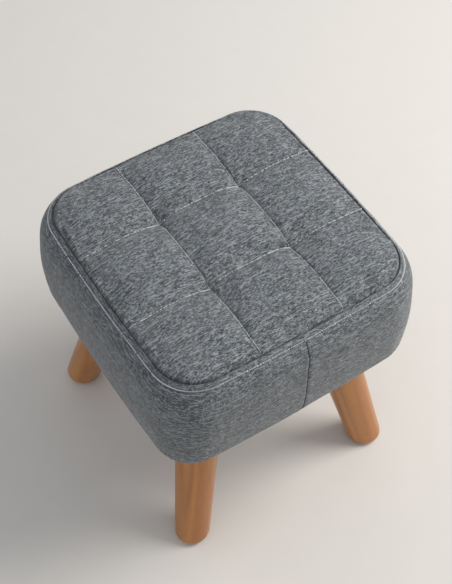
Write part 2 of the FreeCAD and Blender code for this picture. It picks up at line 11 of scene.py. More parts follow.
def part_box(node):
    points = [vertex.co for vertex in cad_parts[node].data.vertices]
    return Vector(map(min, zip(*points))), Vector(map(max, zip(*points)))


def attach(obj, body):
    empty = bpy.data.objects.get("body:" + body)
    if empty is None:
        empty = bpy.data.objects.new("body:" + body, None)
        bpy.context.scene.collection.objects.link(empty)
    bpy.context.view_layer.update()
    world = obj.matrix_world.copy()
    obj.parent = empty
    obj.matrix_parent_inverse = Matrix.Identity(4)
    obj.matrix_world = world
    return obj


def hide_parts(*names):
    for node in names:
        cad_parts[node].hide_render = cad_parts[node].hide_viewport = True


bl_info = {
    "name": "Upholstered Footstool",
    "version": (1, 0, 0),
    "blender": (4, 5, 0),
    "location": "3D View > Sidebar > Footstool",
    "description": "Sews, quilts and finishes a small square footstool round its frame",
    "category": "Add Mesh",
}

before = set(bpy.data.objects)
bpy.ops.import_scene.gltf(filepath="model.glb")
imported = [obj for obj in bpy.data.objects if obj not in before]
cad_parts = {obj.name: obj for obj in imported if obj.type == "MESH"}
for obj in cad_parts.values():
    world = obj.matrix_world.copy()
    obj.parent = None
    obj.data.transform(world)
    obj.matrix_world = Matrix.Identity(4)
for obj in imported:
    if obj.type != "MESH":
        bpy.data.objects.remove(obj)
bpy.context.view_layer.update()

MM = 0.001
BAND_LOW, BAND_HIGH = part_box("side_band")
PANEL_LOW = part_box("top_panel")[0]
LID_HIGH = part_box("top_board")[1]
BASE_LOW, BASE_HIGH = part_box("base_board")
RAIL_REACH = -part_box("rail_front")[0].y
SEAM_REACH = -PANEL_LOW.y
DUST_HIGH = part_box("dust_cover")[1]

CORNERS = ("front_left", "front_right", "back_left", "back_right")
SIDES = ("front", "right", "back", "left")


# Settings


def length_setting(name, description, millimetres):
    return FloatProperty(
        name=name, description=description, default=millimetres * MM, unit="LENGTH")


def angle_setting(name, description, degrees):
    return FloatProperty(
        name=name, description=description, default=math.radians(degrees), subtype="ANGLE")


def colour_setting(name, description, default):
    return FloatVectorProperty(
        name=name, description=description, default=default, subtype="COLOR")


class SeatSizes(PropertyGroup):
    """Sizes of the sewn seat cover."""

    top_reach: length_setting(
        "Top Reach", "Centre to the middle of a side, at the shoulder's crest", 141)
    belly_reach: length_setting(
        "Belly Reach", "Centre to the middle of a side, at its fullest", 148.5)
    base_reach: length_setting("Base Reach", "Centre to the middle of a side, at the base", 143)
    top_corner: length_setting("Top Corner", "Corner radius in plan, at the shoulder's crest", 49)
    belly_corner: length_setting("Belly Corner", "Corner radius in plan, at half height", 50)
    base_corner: length_setting("Base Corner", "Corner radius in plan, at the base", 38)
    side_bow: length_setting("Side Bow", "How far the middle of a side stands out past its ends", 4)
    shoulder: length_setting("Shoulder", "Rounding from the side up towards its crest", 40)
    crest: length_setting("Crest", "Crest of that rounding above the seam", 9)
    hem_round: length_setting("Hem Rounding", "Rounding from the side to the underside", 14)
    hem_width: length_setting("Hem Width", "Cloth turned in under the seat", 25)
    cloth: length_setting("Cloth", "Thickness of the cloth with its backing", 1.5)
    closing_seam: length_setting(
        "Closing Seam", "Place of the band's closing seam along the front", -2)


class QuiltSizes(PropertyGroup):
    """Sizes of the quilted top."""

    pitch: length_setting("Line Pitch", "Distance between the two quilting lines each way", 90)
    crown: length_setting("Crown", "Middle of the top above its seam", 13)
    line_dip: length_setting("Line Dip", "Quilting line below the crown, between crossings", 5)
    tuft_dip: length_setting("Tuft Dip", "Further pull at a crossing", 9)
    rim_puff: length_setting("Rim Puff", "How far the wadding stands up just inside the seam", 3.2)
    puff: length_setting("Puff", "Most that the wadding may push the cloth up or down", 3)
    pressure: FloatProperty(
        name="Wadding Pressure", description="Pressure of the wadding in the cloth simulation",
        default=3.0)
    frames: IntProperty(
        name="Frames", description="Frames of cloth simulation", default=20)


class ThreadSizes(PropertyGroup):
    """Sizes of the stitching."""

    radius: length_setting(
        "Thread Radius", "Radius of the topstitch and cross quilting thread", 0.62)
    fine_radius: length_setting(
        "Fine Thread Radius", "Radius of the other quilting and closing thread", 0.34)
    pitch: length_setting("Stitch Pitch", "Distance from one stitch to the next", 5.6)
    share: FloatProperty(
        name="Stitch Share", description="Share of the pitch that a stitch covers",
        default=0.6, subtype="FACTOR")
    topstitch: length_setting("Topstitch", "Topstitch's distance outside the top seam", 6.2)


class Finishes(PropertyGroup):
    """Colours of the finishes."""

    cloth_light: colour_setting(
        "Cloth Light", "Light yarn of the heathered cloth", (0.325, 0.345, 0.36))
    cloth_middle: colour_setting(
        "Cloth Middle", "Middle yarn of the heathered cloth", (0.132, 0.143, 0.152))
    cloth_dark: colour_setting(
        "Cloth Dark", "Dark yarn of the heathered cloth", (0.030, 0.034, 0.040))
    thread_light: colour_setting(
        "Light Thread", "Quilting and topstitch thread", (0.74, 0.77, 0.79))
    thread_dark: colour_setting("Dark Thread", "Thread of the closing seam", (0.03, 0.035, 0.04))
    beech: colour_setting("Beech", "Honey lacquered beech", (0.56, 0.225, 0.034))
    beech_dark: colour_setting("Beech Grain", "Grain flecks of the beech", (0.38, 0.13, 0.022))
    floor: colour_setting("Floor", "Plain pale floor", (0.72, 0.69, 0.65))


class StageSizes(PropertyGroup):
    """Camera and lights."""

    azimuth: angle_setting("Azimuth", "Camera's turn round the stool from the front", -33.64)
    elevation: angle_setting("Elevation", "Camera's angle above the horizon", 54.16)
    roll: angle_setting("Roll", "Camera's roll", 0.93)
    distance: length_setting(
        "Distance", "Camera's distance from the level of the seat's middle", 1083)
    slide_right: length_setting("Slide Right", "Camera's shift to its right", 2)
    slide_up: length_setting("Slide Up", "Camera's shift upwards", -53.6)
    lens: FloatProperty(
        name="Lens", description="Focal length on a 36 mm sensor", default=70.15)
    key_power: FloatProperty(
        name="Key Light", description="Power of the large soft light", default=40.0, unit="POWER")
    sky: FloatProperty(
        name="Sky", description="Strength of the even light from all round", default=0.58)


class FootstoolSettings(PropertyGroup):
    """All settings of the footstool."""

    seat: PointerProperty(type=SeatSizes)
    quilt: PointerProperty(type=QuiltSizes)
    thread: PointerProperty(type=ThreadSizes)
    finish: PointerProperty(type=Finishes)
    stage: PointerProperty(type=StageSizes)


# Meshes


def mesh_of(name, points, faces, uvs=None):
    """A smooth mesh; uvs holds a place in metres for each corner of each face."""
    mesh = bpy.data.meshes.new(name)
    mesh.from_pydata([tuple(point) for point in points], [], faces)
    if uvs is not None:
        layer = mesh.uv_layers.new(name="cloth")
        layer.data.foreach_set("uv", np.asarray(uvs, np.float32).ravel())
    mesh.polygons.foreach_set("use_smooth", [True] * len(mesh.polygons))
    mesh.update()
    return mesh


def grid_faces(rows, columns, start=0, wrap_rows=False, wrap_columns=False, flip=False):
    """Quads over a grid of vertices, and each corner's row and column before wrapping."""
    faces = []
    corners = []
    for i in range(rows if wrap_rows else rows - 1):
        for j in range(columns if wrap_columns else columns - 1):
            quad = [(i, j), (i, j + 1), (i + 1, j + 1), (i + 1, j)]
            if flip:
                quad.reverse()
            faces.append([start + (r % rows) * columns + c % columns for r, c in quad])
            corners.extend(quad)
    return faces, corners


def tube_faces(first, rings, sides):
    """Faces of a capped tube whose rings of vertices follow each other from the first."""
    faces = []
    for i in range(rings - 1):
        for j in range(sides):
            a = first + i * sides + j
            b = first + i * sides + (j + 1) % sides
            faces.append([a, b, b + sides, a + sides])
    faces.append([first + j for j in reversed(range(sides))])
    last = first + (rings - 1) * sides
    faces.append([last + j for j in range(sides)])
    return faces


def closed_sheet(name, outer, inner, flip=False):
    """A closed mesh between two grids of points, with its places across as UVs."""
    rows, columns = outer.shape[:2]
    total = rows * columns
    faces, corners = grid_faces(rows, columns, flip=flip)
    inner_faces, inner_corners = grid_faces(rows, columns, start=total, flip=not flip)
    faces += inner_faces
    corners += inner_corners
    rim = [(0, j) for j in range(columns - 1)] + [(i, columns - 1) for i in range(rows - 1)]
    rim += [(rows - 1, j) for j in range(columns - 1, 0, -1)]
    rim += [(i, 0) for i in range(rows - 1, 0, -1)]
    for here, ahead in zip(rim, rim[1:] + rim[:1]):
        first, second = (here, ahead) if flip else (ahead, here)
        a, b = (r * columns + c for r, c in (first, second))
        faces.append([a, b, b + total, a + total])
        corners += [first, second, second, first]
    points = np.concatenate([outer.reshape(-1, 3), inner.reshape(-1, 3)])
    return mesh_of(name, points, faces, [outer[r, c, :2] for r, c in corners])


def add_piece(name, mesh, material, replaces=()):
    """Puts a piece in the scene, on the stool's one body."""
    mesh.materials.append(material)
    piece = bpy.data.objects.new(name, mesh)
    bpy.context.scene.collection.objects.link(piece)
    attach(piece, "root")
    if replaces:
        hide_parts(*replaces)
    return piece


def finish_nodes(names, material):
    """Gives CAD nodes a finish."""
    for name in names:
        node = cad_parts[name]
        if not node.material_slots:
            node.data.materials.append(material)
        for place in node.material_slots:
            place.material = material


def ripple(point, size, seed=0.0):
    """Smooth noise from about -1 to 1."""
    return noise.noise(Vector((point[0] / size, point[1] / size, point[2] / size + seed)))


# The seat's form, as in the frame: bowed squares with a round shoulder and hem


def bow_radius(seat, reach):
    return (reach ** 2 + seat.side_bow ** 2) / (2 * seat.side_bow)


def corner_place(side_radius, reach, corner):
    """Distance of the corner arc's centre along x and y, and the angle that a half side turns."""
    back = side_radius - reach
    span = side_radius - corner
    centre = (np.sqrt(2 * span ** 2 - back ** 2) - back) / 2
    return centre, np.arctan2(centre, centre + back)


def side_share(seat):
    """Share of a quarter of the outline that each half side takes, by length."""
    radius = bow_radius(seat, seat.belly_reach)
    turn = corner_place(radius, seat.belly_reach, seat.belly_corner)[1]
    half_side = radius * turn
    arc = seat.belly_corner * (math.pi / 2 - 2 * turn)
    return half_side / (2 * half_side + arc)


def outline(seat, side_radius, reach, corner, share):
    """Points on a bowed square; share runs once round from the middle of the front."""
    part = side_share(seat)
    centre, turn = corner_place(side_radius, reach, corner)
    back = side_radius - reach
    quarter = np.floor(share * 4)
    local = share * 4 - quarter
    first = local < part
    last = local > 1 - part
    angle = turn + (local - part) / (1 - 2 * part) * (math.pi / 2 - 2 * turn)
    angle = np.where(first, local / part * turn, angle)
    angle = np.where(last, math.pi / 2 - (1 - local) / part * turn, angle)
    radius = np.where(first | last, side_radius, corner)
    x = np.where(first, 0.0, np.where(last, -back, centre)) + radius * np.sin(angle)
    y = np.where(first, back, np.where(last, 0.0, -centre)) - radius * np.cos(angle)
    spin = quarter * math.pi / 2
    return x * np.cos(spin) - y * np.sin(spin), x * np.sin(spin) + y * np.cos(spin)


def wall(seat, height):
    """The side's reach and corner radius at a height, before its shoulder and hem are rounded."""
    up = (height - BAND_LOW.z) / (BAND_HIGH.z + seat.crest - BAND_LOW.z)
    low, middle, high = (1 - up) * (1 - 2 * up), 4 * up * (1 - up), up * (2 * up - 1)
    reach = seat.base_reach * low + seat.belly_reach * middle + seat.top_reach * high
    corner = seat.base_corner * low + seat.belly_corner * middle + seat.top_corner * high
    return reach, corner


def rounding(seat, middle_height, radius, way):
    """A rounding's middle and the angle where it meets the side, going up (1) or down (-1)."""
    angle = np.linspace(0, math.pi / 2, 600)
    height = middle_height + way * radius * np.sin(angle)
    middles = wall(seat, height)[0] - radius * np.cos(angle)
    meeting = int(np.argmin(middles))
    return middles[meeting], angle[meeting]


def seat_profile(seat, inset):
    """Points down the side from the seam to the underside: reach, corner radius, height, run."""
    shoulder_height = BAND_HIGH.z + seat.crest - seat.shoulder
    hem_height = BAND_LOW.z + seat.hem_round
    top_middle, top_angle = rounding(seat, shoulder_height, seat.shoulder, 1)
    low_middle, low_angle = rounding(seat, hem_height, seat.hem_round, -1)
    seam_angle = math.asin((seat.shoulder - seat.crest) / (seat.shoulder - inset))
    down = np.linspace(seam_angle, top_angle, 120)
    under = np.linspace(low_angle, math.pi / 2, 60)
    shoulder = seat.shoulder - inset
    hem = seat.hem_round - inset
    side_height = np.linspace(
        shoulder_height + shoulder * math.sin(top_angle),
        hem_height - hem * math.sin(low_angle), 120)[1:-1]
    reach = np.concatenate([
        top_middle + shoulder * np.cos(down), wall(seat, side_height)[0] - inset,
        low_middle + hem * np.cos(under)])
    height = np.concatenate([
        shoulder_height + shoulder * np.sin(down), side_height,
        hem_height - hem * np.sin(under)])
    wall_reach, wall_corner = wall(seat, height)
    corner = wall_corner - (wall_reach - reach)
    steps = np.hypot(np.diff(reach), np.diff(height))
    return reach, corner, height, np.concatenate([[0], np.cumsum(steps)])


def ring_at(seat, reach, corner, share):
    """The seat's outline with a given reach and corner radius."""
    return outline(seat, bow_radius(seat, reach), reach, np.maximum(corner, 1 * MM), share)


def seat_ring(seat, height, inset, share):
    """The seat's outline at a height, drawn in by an inset."""
    reach, corner, heights, _ = seat_profile(seat, inset)
    reach = np.interp(height, heights[::-1], reach[::-1])
    corner = np.interp(height, heights[::-1], corner[::-1])
    return ring_at(seat, reach, corner, share)


def hem_opening(seat):
    """Half the width of the opening inside the turned hem."""
    return seat.base_reach - seat.hem_round - seat.hem_width


# Quilted top


SEAM_ROLL, SEAM_SINK = 1.0 * MM, 1.2 * MM  # the cloth's turn down into the seam
HELD_RIM, HELD_LINE = 2.2 * MM, 0.4 * MM  # what the stitches hold in the simulation
SINK_SHARE = 0.6  # share of the mean swelling that is taken off again
GROOVE_DEPTH, GROOVE_WIDTH = 1.0 * MM, 1.3 * MM
PUCKER_PITCH, PUCKER_HEIGHT = 9 * MM, 0.22 * MM
PUCKER_PLACE, PUCKER_WIDTH = 4 * MM, 3 * MM


def rise_share(quilt, distance):
    """Share of the crown that the top has gained this far in from its seam."""
    room = SEAM_REACH - quilt.pitch / 2
    far = np.clip(SEAM_REACH - np.abs(distance), 0, room)
    return 1 - (1 - far / room) ** 3


def line_pull(quilt, distance):
    """Pull of the nearest quilting line: 1 on the line, 0 half way to the next."""
    half = quilt.pitch / 2
    outside = np.clip(1 - (np.abs(distance) - half) / (SEAM_REACH - half), 0, 1)
    return np.where(np.abs(distance) <= half, (distance / half) ** 2, outside ** 2)


def quilt_height(quilt, x, y):
    """Height of the quilted top over a point."""
    pull_x = line_pull(quilt, x)
    pull_y = line_pull(quilt, y)
    dip = quilt.line_dip * (pull_x + pull_y - pull_x * pull_y)
    dip = dip + quilt.tuft_dip * (pull_x * pull_y) ** 2
    rise = rise_share(quilt, x) * rise_share(quilt, y)
    return BAND_HIGH.z + rise * (quilt.crown - dip)


def rim_puff(quilt, inside):
    """The wadding's round edge along the seam, over the plain form."""
    rise = 1 - (1 - np.clip(inside / (7 * MM), 0, 1)) ** 2.4
    return quilt.rim_puff * rise * np.exp(-np.clip(inside - 5 * MM, 0, None) / (16 * MM))


def quilt_stops(quilt):
    """Grid lines across the top, close together at the seam and the quilting lines."""
    outer = SEAM_REACH
    half = quilt.pitch / 2
    fine, coarse, band, edge = 0.9 * MM, 2.5 * MM, 6 * MM, 8 * MM
    marks = [-outer, -outer + edge, -half - band, -half + band]
    marks += [-mark for mark in reversed(marks)]
    stops = [marks[0]]
    for k, (start, end) in enumerate(zip(marks, marks[1:])):
        step = fine if k % 2 == 0 else coarse
        count = 2 * max(1, round((end - start) / step / 2))
        stops += [start + (end - start) * i / count for i in range(1, count + 1)]
    return np.array(stops)


def quilt_grid(seat, quilt):
    """Places over the top, and how far each is inside the seam, on a grid fitted to the seam."""
    stops = quilt_stops(quilt)
    across, along = np.meshgrid(stops, stops)
    outer = SEAM_REACH
    share = np.linspace(0, 1, 1600, endpoint=False)
    inset = seat.top_reach - outer
    radius = bow_radius(seat, seat.top_reach) - inset
    ring_x, ring_y = outline(seat, radius, outer, seat.top_corner - inset, share)
    ring_angle = np.arctan2(ring_y, ring_x)
    order = np.argsort(ring_angle)
    angle = np.arctan2(along, across)
    ring_reach = np.interp(
        angle, ring_angle[order], np.hypot(ring_x, ring_y)[order], period=2 * math.pi)
    square_reach = outer / np.maximum(np.abs(np.cos(angle)), np.abs(np.sin(angle)))
    rim = np.maximum(np.abs(across), np.abs(along)) / outer
    draw_in = 1 - (1 - ring_reach / square_reach) * rim ** 5
    gap = 0.15 * MM
    x = across * draw_in * (1 - gap / outer)
    y = along * draw_in * (1 - gap / outer)
    return x, y, ring_reach - np.hypot(x, y)


def simulate_quilt(mesh, held, quilt):
    """Blows the cloth up with the wadding's pressure, held at its seams, and returns its points."""
    piece = bpy.data.objects.new("quilt_cloth", mesh)
    scene = bpy.context.scene
    scene.collection.objects.link(piece)
    group = piece.vertex_groups.new(name="held")
    group.add([int(i) for i in np.nonzero(held)[0]], 1.0, "REPLACE")
    cloth = piece.modifiers.new("wadding", "CLOTH")
    values = {
        "quality": 5, "mass": 0.25, "tension_stiffness": 12, "compression_stiffness": 12,
        "shear_stiffness": 4, "bending_stiffness": 0.3, "tension_damping": 8,
        "compression_damping": 8, "shear_damping": 8, "use_pressure": True,
        "uniform_pressure_force": quilt.pressure, "vertex_group_mass": "held",
        "shrink_min": -0.025,
    }
    for key, value in values.items():
        setattr(cloth.settings, key, value)
    cloth.settings.effector_weights.gravity = 0
    cloth.point_cache.frame_start = 1
    cloth.point_cache.frame_end = quilt.frames
    for step in range(1, quilt.frames + 1):
        scene.frame_set(step)
    evaluated = piece.evaluated_get(bpy.context.evaluated_depsgraph_get())
    points = np.zeros(len(mesh.vertices) * 3)
    evaluated.data.vertices.foreach_get("co", points)
    scene.frame_set(1)
    bpy.data.objects.remove(piece)
    return points.reshape(-1, 3)


def quilt_points(seat, quilt):
    """Points of the finished top cloth, on a grid."""
    x, y, inside = quilt_grid(seat, quilt)
    half = quilt.pitch / 2
    target = quilt_height(quilt, x, y)
    target = target + rim_puff(quilt, inside)
    roll = np.exp(-(inside / SEAM_ROLL) ** 2)
    target = target * (1 - roll) + (BAND_HIGH.z - SEAM_SINK) * roll
    points = np.stack([x, y, target], -1)
    from_line_x = np.abs(np.abs(x) - half)
    from_line_y = np.abs(np.abs(y) - half)
    held = (inside < HELD_RIM) | (from_line_x < HELD_LINE) | (from_line_y < HELD_LINE)
    faces, _ = grid_faces(*x.shape)
    start = mesh_of("quilt_cloth", points.reshape(-1, 3), faces)
    blown = simulate_quilt(start, held.ravel(), quilt).reshape(points.shape)
    moved = np.clip(blown - points, -quilt.puff, quilt.puff)
    sink = np.mean(moved[..., 2][~held]) * SINK_SHARE
    points = points + moved
    points[..., 2] -= np.where(held, 0, sink) * (1 - roll)
    pull = np.minimum(from_line_x, from_line_y)
    along = np.where(from_line_x < from_line_y, y, x)
    groove = GROOVE_DEPTH * np.exp(-(pull / GROOVE_WIDTH) ** 2)
    phase = np.array([ripple((a, b, 0), 14 * MM) for a, b in zip(x.ravel(), y.ravel())])
    phase = phase.reshape(x.shape)
    pucker = np.sin(2 * math.pi * along / PUCKER_PITCH + 5 * phase)
    pucker = PUCKER_HEIGHT * pucker * np.exp(-((pull - PUCKER_PLACE) / PUCKER_WIDTH) ** 2)
    points[..., 2] += (pucker - groove) * (1 - roll)
    return points


def quilted_top_mesh(seat, quilt):
    """The quilted top as a closed shell: cloth above, a flat backing below."""
    top = quilt_points(seat, quilt)
    under = top.copy()
    under[..., 2] = PANEL_LOW.z
    return closed_sheet("quilted_top", top, under), top


# Side band


BAND_LIFT = (
    # Distance from the top seam, and lift off the plain form, in millimetres
    (0, -1.3), (0.5, -0.3), (1.0, 0.45), (2.2, 0.85), (4.2, 0.75), (5.2, 0.55), (6.2, 0.05),
    (7.2, 0.0), (8.6, 0.3), (12, 0.3), (20, 0),
)


def band_profile(seat):
    """Rows of the band's outside, from the top seam to the hem's edge: reach, corner, height,
    share of the way across the hem, and run."""
    reach, corner, height, run = seat_profile(seat, 0)
    steps = [0, 0.5, 1.0, 1.6, 2.2, 3, 3.8, 4.6, 5.2, 5.7, 6.2, 6.7, 7.2, 7.8, 8.6, 9.6, 11]
    stops = [step * MM for step in steps]
    side = run[-1] - seat.hem_round * math.pi / 2
    count = 46
    stops += [stops[-1] + (side - stops[-1]) * i / count for i in range(1, count + 1)]
    count = 9
    stops += [side + (run[-1] - side) * i / count for i in range(1, count + 1)]
    rows = [
        (*(float(np.interp(stop, run, column)) for column in (reach, corner, height)), 0, stop)
        for stop in stops
    ]
    count = 9
    for i in range(1, count + 1):
        share = i / count
        rows.append((reach[-1], corner[-1], height[-1], share, run[-1] + seat.hem_width * share))
    return rows


def inner_profile(seat, length):
    """Rows of the band's inside, from the hem's edge back up to the top seam."""
    reach, corner, height, run = seat_profile(seat, seat.cloth)
    rows = [(reach[-1], corner[-1], height[-1], share, length) for share in (1, 0.7, 0.4, 0.15)]
    top = float(np.interp(-PANEL_LOW.z, -height, run))
    count = 30
    for i in range(count + 1):
        stop = run[-1] + (top - run[-1]) * i / count
        place = (float(np.interp(stop, run, column)) for column in (reach, corner, height))
        rows.append((*place, 0, length))
    return rows


def band_columns(seat):
    """Places round the band by length from the closing seam, and the whole length."""
    ring = np.linspace(0, 1, 4001)
    x, y = seat_ring(seat, (BAND_LOW.z + BAND_HIGH.z) / 2, 0, ring % 1)
    length = float(np.hypot(np.diff(x), np.diff(y)).sum())
    near, fine, coarse = 9 * MM, 0.8 * MM, 2.3 * MM
    count = round(near / fine)
    places = [near * i / count for i in range(count)]
    middle = length - 2 * near
    steps = round(middle / coarse)
    places += [near + middle * i / steps for i in range(steps)]
    places += [length - near + near * i / count for i in range(count)]
    return np.array(places), length


def band_points(seat):
    """Points of the band on a grid of rows and columns, with each one's length round and along."""
    places, length = band_columns(seat)
    share = (places + seat.closing_seam) / length % 1
    rows = band_profile(seat)
    rows += inner_profile(seat, rows[-1][4])
    reach, corner, height, hem, run = (np.array(column)[:, None] for column in zip(*rows))
    x, y = ring_at(seat, reach, corner, share[None, :])
    opening = hem_opening(seat)
    straight = 400 * opening
    hem_x, hem_y = outline(seat, straight, opening, 1 * MM, share[None, :])
    x = x * (1 - hem) + hem_x * hem
    y = y * (1 - hem) + hem_y * hem
    z = np.broadcast_to(height, x.shape)
    return np.stack([x, y, z], -1), places, run[:, 0], length


def grid_normals(points):
    """Outward directions of a grid that wraps both ways."""
    round_it = np.roll(points, -1, 1) - np.roll(points, 1, 1)
    along = np.roll(points, -1, 0) - np.roll(points, 1, 0)
    normals = np.cross(along, round_it)
    return normals / np.maximum(np.linalg.norm(normals, axis=-1, keepdims=True), 1e-12)


def seam_waver(run):
    """How far the closing seam strays sideways, this far down the band."""
    return 0.7 * MM * np.sin(run / (13 * MM)) + 0.2 * MM * np.sin(run / (4.1 * MM))


def band_lift(points, places, runs, length, outer_rows):
    """How far each point of the band's outside stands off the plain form."""
    marks = np.array(BAND_LIFT) * MM
    lift = np.zeros(points.shape[:2])
    run = runs[:outer_rows, None]
    flange = np.interp(run, marks[:, 0], marks[:, 1])
    from_seam = np.where(places > length / 2, places - length, places)[None, :]
    from_seam = from_seam - seam_waver(run)
    below = np.clip((run - 7.5 * MM) / (3 * MM), 0, 1)
    crease, crease_width, swell_height = 0.55 * MM, 0.9 * MM, 0.2 * MM
    groove = crease * np.exp(-(from_seam / crease_width) ** 2)
    swell = swell_height * np.exp(-((np.abs(from_seam) - 4 * MM) / (3 * MM)) ** 2)
    lift[:outer_rows] = flange + (swell - groove) * below
    slow_height, slow_size = 0.45 * MM, 38 * MM
    quick_height, quick_size = 0.22 * MM, 13 * MM
    fold_height, fold_width, fold_rise = 0.5 * MM, 24 * MM, 16 * MM
    for i in range(outer_rows):
        shoulder = math.exp(-((runs[i] - 14 * MM) / (14 * MM)) ** 2)
        for j in range(points.shape[1]):
            place = points[i, j]
            slow = slow_height * ripple(place, slow_size, 3.0)
            quick = quick_height * ripple(place, quick_size, 9.0) * (0.4 + shoulder)
            corner = abs(abs(place[0]) - abs(place[1])) / fold_width
            fold = math.exp(-corner ** 2) * math.exp(-((place[2] - BAND_LOW.z) / fold_rise) ** 2)
            gather = math.sin(places[j] / (1.5 * MM) + 3 * ripple(place, 20 * MM, 5.0))
            lift[i, j] += (slow + quick) * min(1, runs[i] / (4 * MM)) + fold_height * fold * gather
    return lift


def side_band_mesh(seat):
    """The side band as a closed shell, with its raised flange, closing seam and turned hem."""
    points, places, runs, length = band_points(seat)
    outer_rows = len(band_profile(seat))
    lift = band_lift(points, places, runs, length, outer_rows)
    points = points + grid_normals(points) * lift[..., None]
    rows, columns = points.shape[:2]
    faces, corners = grid_faces(rows, columns, wrap_rows=True, wrap_columns=True, flip=True)
    around = np.append(places, length)
    down = np.append(runs, runs[-1])
    uvs = [(around[c], -down[r]) for r, c in corners]
    return mesh_of("side_band", points.reshape(-1, 3), faces, uvs), points, places, runs, length


# Stitches


def stitch_run(path, thread, radius, start=0.0):
    """Many short stitches along a path, each sinking into the cloth at its ends."""
    steps = np.linalg.norm(np.diff(path, axis=0), axis=1)
    reach = np.concatenate([[0], np.cumsum(steps)])

    def on_path(at, first=0):
        return Vector([np.interp(at, reach, path[:, first + k]) for k in range(3)])

    sections = (
        # Place along the stitch, radius and height, each as a share
        (0.0, 0.5, -1.2), (0.1, 0.9, 0.1), (0.3, 1.0, 0.75), (0.7, 1.0, 0.75),
        (0.9, 0.9, 0.1), (1.0, 0.5, -1.2),
    )
    sides = 7
    points = []
    faces = []
    place = start
    index = 0
    while place + thread.pitch * thread.share < reach[-1]:
        slant = 0.12 * radius * math.sin(index * 2.4)
        first = len(points)
        stitch = thread.pitch * thread.share * (1 + 0.08 * math.sin(index * 1.7))
        for share, wide, high in sections:
            at = place + stitch * share
            along = (on_path(at + 0.5 * MM) - on_path(at - 0.5 * MM)).normalized()
            outward = on_path(at, 3)
            outward = (outward - along * outward.dot(along)).normalized()
            across = along.cross(outward)
            centre = on_path(at) + outward * (high * radius) + across * slant * (share - 0.5)
            for side in range(sides):
                turn = 2 * math.pi * side / sides
                ring = across * math.cos(turn) + outward * math.sin(turn)
                points.append(centre + ring * radius * wide)
        faces += tube_faces(first, len(sections), sides)
        place += thread.pitch
        index += 1
    return points, faces


def joined_runs(name, runs):
    """One mesh from several runs of stitches."""
    points = []
    faces = []
    for run_points, run_faces in runs:
        shift = len(points)
        points += run_points
        faces += [[shift + i for i in face] for face in run_faces]
    return mesh_of(name, points, faces)


def surface_path(tree, points, lift=0.0):
    """A path laid on a surface: places and outward directions."""
    path = []
    for point in points:
        hit, normal, _, _ = tree.ray_cast(Vector(point) + Vector((0, 0, 0.1)), Vector((0, 0, -1)))
        if hit is None:
            raise RuntimeError("a quilting line runs off the top")
        path.append([*(hit + normal * lift), *normal])
    return np.array(path)


def quilting_runs(quilt, thread, top):
    """Stitches of the four quilting lines."""
    rows, columns = top.shape[:2]
    faces, _ = grid_faces(rows, columns)
    tree = BVHTree.FromPolygons([tuple(p) for p in top.reshape(-1, 3)], faces)
    half = quilt.pitch / 2
    end = SEAM_REACH - 2.5 * MM
    count = 240
    stations = [-end + 2 * end * i / count for i in range(count + 1)]
    runs = []
    for k, offset in enumerate((-half, half)):
        across = surface_path(tree, [(s, offset, 0.25) for s in stations], 0.1 * MM)
        along = surface_path(tree, [(offset, s, 0.25) for s in stations])
        start = (0.4 + 0.9 * k) * MM
        runs.append(stitch_run(across, thread, thread.radius, start))
        runs.append(stitch_run(along, thread, thread.fine_radius, start))
    return runs


def band_path(points, normals, runs, distance):
    """The line round the band at a distance from the top seam."""
    row = int(np.argmin(np.abs(runs - distance)))
    ring = np.concatenate([points[row], normals[row]], axis=-1)
    return np.concatenate([ring, ring[:1]])


def closing_path(points, normals, places, runs, length, last_row):
    """The closing seam's line down the band."""
    path = []
    order = np.append(places, length)
    for row in range(last_row):
        if runs[row] < 8 * MM:
            continue
        at = seam_waver(runs[row]) % length
        ring = np.concatenate([points[row], normals[row]], axis=-1)
        ring = np.concatenate([ring, ring[:1]])
        path.append([np.interp(at, order, ring[:, k]) for k in range(6)])
    return np.array(path)


# Foam


def closed_stack(name, rings):
    """A closed mesh through level rings of points, capped at both ends."""
    count = len(rings[0])
    points = [point for ring in rings for point in ring]
    faces = tube_faces(0, len(rings), count)
    mesh = mesh_of(name, points, faces)
    mesh.polygons.foreach_set("use_smooth", [len(face) == 4 for face in faces])
    return mesh


def seat_foam_mesh(seat):
    """The slab of foam over the top board, following the shoulder up to the quilted top."""
    gap = 0.2 * MM
    share = np.linspace(0, 1, 240, endpoint=False)
    low, high = LID_HIGH.z + gap, PANEL_LOW.z - gap
    rings = []
    for i in range(13):
        height = low + (high - low) * i / 12
        x, y = seat_ring(seat, height, seat.cloth + gap, share)
        rings.append([(a, b, height) for a, b in zip(x, y)])
    return closed_stack("seat_foam", rings)


def foam_pad_ring(seat, height, inner_reach, half_width):
    """One level of a foam pad on the front rail: its round outside and its straight back."""
    share = (np.linspace(-0.18, 0.18, 700)) % 1
    x, y = seat_ring(seat, height, seat.cloth + 0.2 * MM, share)
    kept = (y <= -inner_reach) & (np.abs(x) <= half_width)
    x, y = x[kept], y[kept]
    run = np.concatenate([[0], np.cumsum(np.hypot(np.diff(x), np.diff(y)))])
    stations = np.linspace(0, run[-1], 48)
    outside = [(np.interp(s, run, x), np.interp(s, run, y)) for s in stations]
    back = [
        (outside[-1][0] + (outside[0][0] - outside[-1][0]) * i / 12, -inner_reach)
        for i in range(13)
    ]
    return [(a, b, height) for a, b in outside + back]


